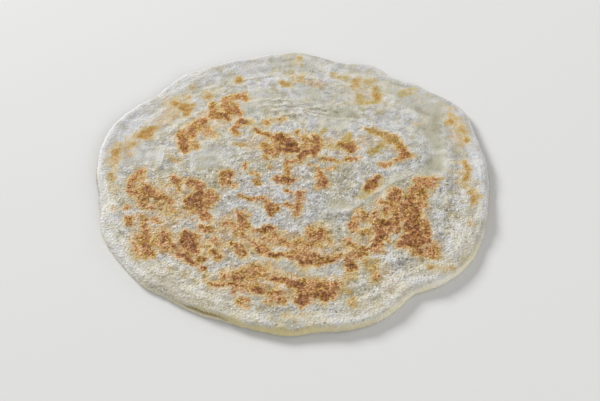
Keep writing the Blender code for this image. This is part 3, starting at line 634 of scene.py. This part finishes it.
# marks that came out greener than the rest
green_marks = (
    (0.55, (49, 24, 2.6), (42, 17, 3.2)), (0.45, (18, 21, 2.2), (24, 21, 2.4)),
    (0.6, (30, 26.5, 2.2), (30, 31, 2.2)), (0.65, (38, -13, 2.4), (34.5, -16, 3)),
    (0.6, (-24.5, 40.3, 1.8)), (0.35, (44, 34, 2.5), (55, 28, 3.5)), (0.5, (14, 31, 2), (17, 34, 2.4)),
    (0.5, (17, -19, 4), (25, -18, 3)), (0.45, (-35.3, 56, 1.6)),
    (0.6, (37.5, 65, 2.6), (38, 57, 2.4), (46, 58, 2.4)), (0.4, (42, 75, 2.4), (47, 76, 2), (48, 68, 2.4)),
    (0.55, (63, 66, 3), (69, 68, 3)), (0.4, (22, 81.5, 2.6), (30, 79.5, 2.2)),
    (0.35, (-83, 36, 2.4), (-79, 38, 2)), (0.35, (26, -76, 2.4), (40, -60, 2.6)),
)
green = blended_paint(green_marks, px - warp_x, py - warp_y, 1.5, 2.0) * on_top

# the underside, browned in blots by the second turn on the griddle
blots = 0.8 * wander(12, 31) + 0.7 * wander(6, 32) + 0.35 * wander(3, 33)
away_from_edge = fade(3, 16, inside)
under_brown = 0.62 * fade(0.02, 0.60, blots) * away_from_edge
brown = brown * on_top + under_brown * under
halo = halo * on_top + 0.7 * fade(-0.15, 0.35, blots) * away_from_edge * under
gold = gold * on_top
far_half = fade(-45.0, 30.0, y)
brown *= 1.0 + (0.03 * far_half - 0.02) * on_top

# the marks are puffed up and grainy; the hollows of the relief get painted shade and its crests painted
# highlights
fine += 0.18 * fade(0.15, 0.6, brown) + 0.10 * fade(0.1, 0.5, gold)
fine += 0.30 * wander(1.5, 34) * fade(0.1, 0.5, brown)
hollow_shade = fade(0.02, 0.30, -fine)
crest_highlight = fade(0.06, 0.34, fine)
broken = fade(-0.35, 0.05, wander(6, 46))
hollow_shade = np.maximum(hollow_shade, 0.95 * lip_shadow * broken)
crest_highlight = np.maximum(crest_highlight, 0.75 * lip_highlight * broken)
# painted highlights along thin ridges of the skin
highlight_streaks = (
    (1, (-58, -38, 0.8), (-52, -34, 1.2), (-45, -30, 0.8)), (0.8, (-46, -44, 0.6), (-40, -40, 0.8)),
    (0.8, (-66, -24, 0.5), (-60, -20, 0.8), (-56, -21, 0.5)),
    (0.8, (-38, -74, 0.6), (-30, -79, 0.8), (-20, -81, 0.5)),
    (0.9, (18, -88, 0.5), (26, -88, 0.7), (34, -84, 0.4)),
    (0.7, (44, -62, 0.5), (48, -56, 0.8), (50, -50, 0.4)),
)
crest_highlight = np.maximum(crest_highlight, blended_paint(highlight_streaks, x + 0.5 * warp_x, y + 0.5 * warp_y, 0.4, 1.0))

# the near left edge, where the upper skin stopped short and the lower one shows as a lip
split_middle, split_spread, split_height, split_half = 246.0, 7.0, 2.0, 0.50
split_depth, drawn_back_by = 0.9, 1.1
along = about(split_middle, split_spread)
# the split groove: pushed in below, and given painted shade in the crust
split_groove_shade = along * np.exp(-((z - split_height) / split_half) ** 2) * (1.0 - fade(1.0, 3.0, inside))
above_split = fade(split_height - 0.7, split_height, z)
drawn_back = drawn_back_by * along * above_split * (1.0 - fade(2.0, 9.0, inside))
# the lower lip: pale skin, brightened further with painted light where it faces down into shade
lip = along * (1.0 - fade(split_height - 0.4, split_height, z)) * fade(0.6, 1.0, z) * (1.0 - under)

points[:, 2] += (big + fine) * on_top
ragged = 0.45 * wander(9, 41) + 0.30 * wander(3.5, 42) + 0.25 * on_side * wander(2.0, 43, pz=z * 1.4)
push = ragged * (1.0 - fade(0.5, 6.0, inside)) - split_depth * split_groove_shade - drawn_back
away = np.hypot(x, y)
points[:, 0] += push * x / away
points[:, 1] += push * y / away

# drawn back to the size of the solid that it stands for
for axis, (low, high) in enumerate(zip(bread_low, bread_high)):
    low, high = low / MM, high / MM
    least, most = points[:, axis].min(), points[:, axis].max()
    if axis < 2:
        centred_points = points[:, axis] - (least + most) / 2
        points[:, axis] = centred_points * (high - low) / (most - least) + (low + high) / 2
    else:
        squeeze = min(1.0, (high - low) / (most - least))
        points[:, axis] = low + (points[:, axis] - least) * squeeze
bread.data.vertices.foreach_set("co", (points * MM).ravel())
bread.data.shade_smooth()
bread.data.update()

# the tones of the side and the rim: a painted yellow glow and satin sheen on the near wall, painted
# highlights along the near rim, the far edge and the foot of the lower skin, and a darker far side wall
near = 1.0 - fade(-0.55, 0.05, y / half_depth)
near_left = about(222.0, 24.0)
satin_sheen = about(264.0, 21.0)
# the near wall's band of painted yellow glow, taller where the satin sheen is painted
side_top = 2.9 + 1.2 * satin_sheen - 0.7 * near_left + 1.2 * wander(7, 44)
side = fade(0.8, 1.3, z) * (1.0 - fade(-0.8, 0.8, z - side_top))
side = side * (1.0 - fade(2.0, 7.0, inside)) * near
side *= 0.45 + 0.55 * satin_sheen - 0.25 * about(228.0, 16.0) - 0.18 * about(312.0, 22.0)
# painted highlights along the near rim and the near left edge
rim_highlight = 0.15 * about(283.0, 14.0) + 0.15 * about(308.0, 14.0)
rim_highlight = rim_highlight * np.exp(-((inside - 4.4) / 2.2) ** 2)
left_rim_highlight = 0.6 * about(212.0, 17.0) * (1.0 - fade(3.5, 6.5, inside)) * fade(1.6, 2.4, z)
rim_highlight = np.maximum(rim_highlight, left_rim_highlight)
rim_highlight *= 1.0 + 0.8 * wander(5, 45)
# painted highlight along the foot of the lower skin, and painted light on the near right foot where it lies
# in shade
foot_highlight = near_left * (1.0 - fade(1.5, 1.9, z)) * (1.0 - under)
right_foot_light = 0.5 * about(314.0, 22.0) * (1.0 - fade(3.4, 4.6, z)) * (1.0 - fade(2.0, 6.0, inside))
foot_highlight = np.maximum(foot_highlight, right_foot_light)
# painted highlight along the far edge
far_edge_highlight = (1.0 - near) * (1.0 - fade(0.8, 2.8, inside)) * fade(3.0, 3.6, z)
far_side = (1.0 - near) * (1.0 - fade(2.8, 3.5, z)) * (1.0 - under)
pebbly = (0.38 + 0.62 * lively) * (0.55 + 0.45 * rough) * (1.0 - 0.75 * smooth)
layers = {
    "brown": brown, "halo": halo, "gold": gold, "green": green, "side": side, "foot_highlight": foot_highlight,
    "split_groove_shade": split_groove_shade, "lip": lip, "far_edge_highlight": far_edge_highlight, "far_side": far_side,
    "rim_highlight": rim_highlight, "far_half": far_half,
}
top_layers = {
    "smooth": smooth, "hollow_shade": hollow_shade, "crest_highlight": crest_highlight, "char": char, "scorch": scorch,
    "flour_and_rim_light": flour_and_rim_light, "olive": olive, "grey_and_shaded": grey_and_shaded, "creamy_and_lit": creamy_and_lit, "pebbly": pebbly,
}
layers.update({name: values * on_top for name, values in top_layers.items()})
for name, values in layers.items():
    layer = bread.data.attributes.new(name, "FLOAT", "POINT")
    layer.data.foreach_set("value", values.astype(np.float32))


def screen(red, green, blue):
    """A colour as it looks on screen, 0 to 255, as the shader's linear colour."""
    shares = [c / 255.0 for c in (red, green, blue)]
    return [c / 12.92 if c <= 0.04045 else ((c + 0.055) / 1.055) ** 2.4 for c in shares] + [1.0]


crust = bpy.data.materials.new("crust")
crust.use_nodes = True
tree = crust.node_tree
shader = tree.nodes["Principled BSDF"]
place = tree.nodes.new("ShaderNodeTexCoord").outputs["Object"]


def feed(socket, value):
    """Sets a plain value on a socket, or joins another node's output to it."""
    if isinstance(value, (int, float, list, tuple)):
        socket.default_value = value
    elif value is not None:
        tree.links.new(value, socket)


def worked(name):
    """One of the values worked into the bread's points."""
    node = tree.nodes.new("ShaderNodeAttribute")
    node.attribute_name = name
    return node.outputs["Fac"]


def speckle(size, detail=2.0, roughness=0.5):
    """Noise from 0 to 1 whose features are about size millimetres across."""
    node = tree.nodes.new("ShaderNodeTexNoise")
    feed(node.inputs["Vector"], place)
    feed(node.inputs["Scale"], 1.0 / (size * MM))
    feed(node.inputs["Detail"], detail)
    feed(node.inputs["Roughness"], roughness)
    return ranged(node.outputs["Fac"], 0.28, 0.72, kind="LINEAR")


def cells(size):
    """Cells about size millimetres across: how near each point is to its cell's middle, and
    a number from 0 to 1 that each cell has for itself."""
    node = tree.nodes.new("ShaderNodeTexVoronoi")
    feed(node.inputs["Vector"], place)
    feed(node.inputs["Scale"], 1.0 / (size * MM))
    parts = tree.nodes.new("ShaderNodeSeparateColor")
    feed(parts.inputs[0], node.outputs["Color"])
    return node.outputs["Distance"], parts.outputs[0]


def sums(operation, first, second):
    """ADD, SUBTRACT, MULTIPLY or MAXIMUM of two values."""
    node = tree.nodes.new("ShaderNodeMath")
    node.operation = operation
    feed(node.inputs[0], first)
    feed(node.inputs[1], second)
    return node.outputs[0]


def times(first, second):
    return sums("MULTIPLY", first, second)


def plus(first, second):
    return sums("ADD", first, second)


def ranged(value, low, high, new_low=0.0, new_high=1.0, kind="SMOOTHSTEP"):
    """A value stretched from one range to another and held at its ends."""
    node = tree.nodes.new("ShaderNodeMapRange")
    node.interpolation_type = kind
    ends = {"From Min": low, "From Max": high, "To Min": new_low, "To Max": new_high}
    for name, number in ends.items():
        feed(node.inputs[name], number)
    feed(node.inputs["Value"], value)
    return node.outputs["Result"]


def blend(share, under, over, mode="MIX"):
    """One colour laid over another by a share from 0 to 1."""
    node = tree.nodes.new("ShaderNodeMix")
    node.data_type = "RGBA"
    node.blend_type = mode
    feed(node.inputs[0], share)
    feed(node.inputs[6], under)
    feed(node.inputs[7], over)
    return node.outputs[2]


def ramp(value, stops):
    """A colour for each value: stops are positions and colours on screen."""
    node = tree.nodes.new("ShaderNodeValToRGB")
    feed(node.inputs["Fac"], value)
    keys = node.color_ramp.elements
    while len(keys) < len(stops):
        keys.new(0.5)
    for key, (position, colour) in zip(keys, stops):
        key.position = position
        key.color = screen(*colour)
    return node.outputs["Color"]


def centred(value, amount):
    """Noise from 0 to 1 turned into noise about nought, amount to each side."""
    return ranged(value, 0.0, 1.0, -amount, amount, kind="LINEAR")


def tinted(under, layer, share, tint, mode="MIX"):
    """A colour turned towards a tint where a worked layer is strong."""
    return blend(times(worked(layer), share), under, screen(*tint), mode)


grit = speckle(0.95, 2.0, 0.6)
mottle = speckle(2.6, 2.0, 0.5)
cloud = speckle(16, 3.0, 0.5)

# the plain dough: pale skin that turns from cream to a cool white in clouds, white where the
# flour stayed, with painted light along the rims, and olive where it is tight and thin, with white
# specks of flour and painted highlight on its blisters and painted grey shade in pits between them
patches = speckle(7.0, 2.0, 0.5)
freckles = speckle(4.6, 1.0, 0.5)
shade = speckle(9.0, 1.0, 0.5)
clouds = ranged(plus(cloud, centred(patches, 0.35)), 0.20, 0.80)
dough = blend(clouds, screen(197, 197, 196), screen(202, 196, 173))
dough = blend(times(ranged(freckles, 0.55, 0.95), 0.65), dough, screen(201, 190, 154))
dough = blend(times(ranged(freckles, 0.42, 0.05), 0.65), dough, screen(204, 201, 204))
# flour with painted rim light, greyer with partly painted shade, creamy with partly painted light
for layer, share, tint in (
    ("flour_and_rim_light", 0.62, (210, 212, 216)), ("grey_and_shaded", 0.60, (174, 178, 176)),
    ("creamy_and_lit", 0.65, (222, 215, 193)), ("smooth", 0.5, (192, 192, 182)),
    ("olive", 0.68, (172, 168, 142)),
):
    dough = tinted(dough, layer, share, tint)
dough = blend(times(ranged(shade, 0.50, 0.95), 0.55), dough, screen(180, 176, 158))
veil = plus(worked("scorch"), plus(centred(mottle, 0.35), centred(grit, 0.12)))
veil = times(ranged(veil, 0.10, 1.05, 0.0, 0.92), ranged(worked("scorch"), 0.0, 0.3))
dough = blend(veil, dough, screen(210, 180, 136))
# painted shade in the hollows and below the lips, painted highlights on the crests and lips
dough = tinted(dough, "hollow_shade", 0.55, (206, 200, 188), "MULTIPLY")
dough = tinted(dough, "crest_highlight", 0.50, (226, 224, 218))
# painted grey shade in pits between the blisters
near_pit, pit_depth = cells(1.9)
pit_shade = times(ranged(near_pit, 0.52, 0.18), ranged(pit_depth, 0.40, 1.0, 0.0, 0.95))
dough = blend(times(pit_shade, worked("pebbly")), dough, screen(188, 182, 172), "MULTIPLY")
# white specks, partly flour and partly painted highlight on the blisters
near_speck, speck_white = cells(1.35)
flour_and_highlight_specks = times(ranged(near_speck, 0.54, 0.18), ranged(speck_white, 0.35, 0.95, 0.0, 1.0))
flour_and_highlight_specks = times(flour_and_highlight_specks, ranged(grit, 0.15, 0.55))
dough = blend(times(flour_and_highlight_specks, worked("pebbly")), dough, screen(244, 241, 240))
# painted light and shade of the rim and side: the near wall's glow, highlights on rim, far edge and foot,
# the lower lip brightened, shade in the split; the far side wall darker
for layer, share, tint in (
    ("side", 0.85, (212, 198, 146)), ("rim_highlight", 0.65, (234, 233, 230)),
    ("far_edge_highlight", 0.7, (222, 223, 232)), ("far_side", 0.85, (166, 154, 124)),
    ("foot_highlight", 0.9, (250, 244, 216)), ("lip", 0.9, (250, 236, 208)), ("split_groove_shade", 1.0, (120, 104, 44)),
):
    dough = tinted(dough, layer, share, tint)

# golden marks, then the brown ones: ragged at their edges, with a golden fringe and dark cores
gold_in = worked("gold")
gilt = plus(gold_in, plus(centred(mottle, 0.13), centred(freckles, 0.09)))
gilded = times(ranged(gilt, 0.0, 0.75), ranged(gold_in, 0.0, 0.25))
colour = blend(gilded, dough, ramp(plus(gilt, centred(grit, 0.10)), (
    (0.10, (206, 196, 152)), (0.40, (198, 173, 116)), (0.70, (180, 139, 72)), (1.00, (148, 101, 42)),
)))
brown_in = worked("brown")
edge_noise = plus(centred(mottle, 0.14), centred(grit, 0.12))
ragged_in = plus(brown_in, edge_noise)
halo_in = worked("halo")
warmth = ranged(plus(halo_in, edge_noise), 0.05, 0.80, 0.0, 0.76)
warmth = times(warmth, ranged(halo_in, 0.0, 0.3))
warmth = times(warmth, ranged(speckle(8.0, 1.0, 0.5), 0.2, 0.8, 0.55, 1.0))
colour = blend(warmth, colour, screen(213, 185, 130))
cover = times(ranged(ragged_in, 0.06, 0.52), ranged(brown_in, 0.02, 0.15))
crumbs = centred(speckle(1.2, 1.0, 0.5), 0.30)
crumbs = times(crumbs, ranged(worked("far_half"), 0.0, 1.0, 1.12, 0.72))
toast = plus(crumbs, plus(centred(mottle, 0.12), centred(freckles, 0.08)))
toast = plus(plus(brown_in, 0.04), toast)
rosy = ramp(toast, (
    (0.10, (216, 188, 140)), (0.32, (209, 164, 113)), (0.52, (190, 137, 86)),
    (0.72, (161, 109, 67)), (0.88, (141, 91, 55)), (1.00, (120, 75, 45)),
))
tawny = ramp(toast, (
    (0.10, (212, 192, 134)), (0.32, (202, 166, 96)), (0.52, (178, 134, 60)),
    (0.72, (151, 104, 42)), (0.88, (130, 85, 32)), (1.00, (110, 69, 26)),
))
hue = plus(speckle(5.5, 1.0, 0.5), times(brown_in, 0.60))
hue = ranged(sums("SUBTRACT", hue, times(worked("far_half"), 0.15)), 0.42, 1.00)
colour = blend(cover, colour, blend(hue, tawny, rosy))
green_share = times(worked("green"), sums("MAXIMUM", gilded, cover))
colour = blend(green_share, colour, screen(173, 158, 94))
near_glint, glint_gold = cells(1.2)
glints = times(ranged(near_glint, 0.54, 0.14), ranged(glint_gold, 0.30, 1.0, 0.0, 0.9))
glints = times(glints, ranged(toast, 1.0, 0.55, 0.2, 1.0))
colour = blend(times(glints, ranged(brown_in, 0.05, 0.4)), colour, screen(238, 206, 152))
colour = blend(worked("char"), colour, screen(42, 34, 26))
feed(shader.inputs["Base Color"], colour)
feed(shader.inputs["Roughness"], ranged(toast, -0.1, 0.9, 0.62, 0.48))
feed(shader.inputs["Specular IOR Level"], 0.18)
feed(shader.inputs["Subsurface Weight"], 0.06)
feed(shader.inputs["Subsurface Radius"], (1.0, 0.6, 0.35))
feed(shader.inputs["Subsurface Scale"], 1.5 * MM)

bump = tree.nodes.new("ShaderNodeBump")
feed(bump.inputs["Strength"], 1.0)
feed(bump.inputs["Distance"], 0.6 * MM)
texture = plus(times(grit, 0.5), ranged(near_speck, 0.6, 0.0, kind="LINEAR"))
feed(bump.inputs["Height"], times(texture, ranged(worked("pebbly"), 0.0, 1.0, 0.25, 1.0)))
feed(shader.inputs["Normal"], bump.outputs["Normal"])
bread.data.materials.clear()
bread.data.materials.append(crust)

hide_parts("roti")
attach(bread, "root")

# ------------------------------------------------------------------------ the stage
# A plain pale table top under the bread, soft studio light, and a camera that looks
# down on the bread from its near side.

table_size = 6.0
table_gap = 0.05 * MM
table_looks = {"Base Color": (0.72, 0.72, 0.71, 1), "Roughness": 0.95, "Specular IOR Level": 0.15}

bpy.ops.object.select_all(action="DESELECT")
bpy.ops.mesh.primitive_plane_add(size=table_size, location=(0, 0, bread_low.z - table_gap))
table = bpy.context.object
table.name = "table"
paint = bpy.data.materials.new("table")
paint.use_nodes = True
for name, value in table_looks.items():
    paint.node_tree.nodes["Principled BSDF"].inputs[name].default_value = value
table.data.materials.append(paint)
table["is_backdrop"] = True


def soft_box(name, stands_at, size, power, tint):
    """A rectangular lamp that faces the bread."""
    lamp = bpy.data.lights.new(name, "AREA")
    lamp.shape = "RECTANGLE"
    lamp.size, lamp.size_y = size
    lamp.energy = power
    lamp.color = tint
    holder = bpy.data.objects.new(name, lamp)
    holder.location = stands_at
    holder.rotation_euler = (-Vector(stands_at)).to_track_quat("-Z", "Y").to_euler()
    bpy.context.scene.collection.objects.link(holder)


soft_box("window", (-1.52, 1.60, 1.12), (0.96, 0.64), 68, (1.0, 1.0, 1.0))
soft_box("side window", (1.3, 0.45, 0.6), (0.6, 0.6), 4.0, (1.0, 0.99, 0.98))
soft_box("near fill", (0.75, -1.3, 0.75), (1.0, 0.7), 9.5, (1.0, 0.985, 0.96))

sky_strength = 0.34
sky = bpy.data.worlds.new("studio")
sky.use_nodes = True
sky.node_tree.nodes["Background"].inputs["Color"].default_value = (1.0, 1.0, 1.0, 1)
sky.node_tree.nodes["Background"].inputs["Strength"].default_value = sky_strength
bpy.context.scene.world = sky
bpy.context.scene.view_settings.view_transform = "Standard"

camera_place = (0.00437, -0.34883, 0.36754)
look_down = 47.83  # degrees below the horizon
tilt = 0.36  # degrees, the right side a little high
focal_length, sensor_width = 57.0, 36.0  # millimetres
camera_data = bpy.data.cameras.new("camera")
camera_data.lens = focal_length
camera_data.sensor_width = sensor_width
camera_data.clip_start = 0.01
camera = bpy.data.objects.new("camera", camera_data)
camera.location = camera_place
pitch = Matrix.Rotation(math.radians(90 - look_down), 4, "X")
camera.rotation_euler = (pitch @ Matrix.Rotation(math.radians(tilt), 4, "Z")).to_euler()
bpy.context.scene.collection.objects.link(camera)
bpy.context.scene.camera = camera

low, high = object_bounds()
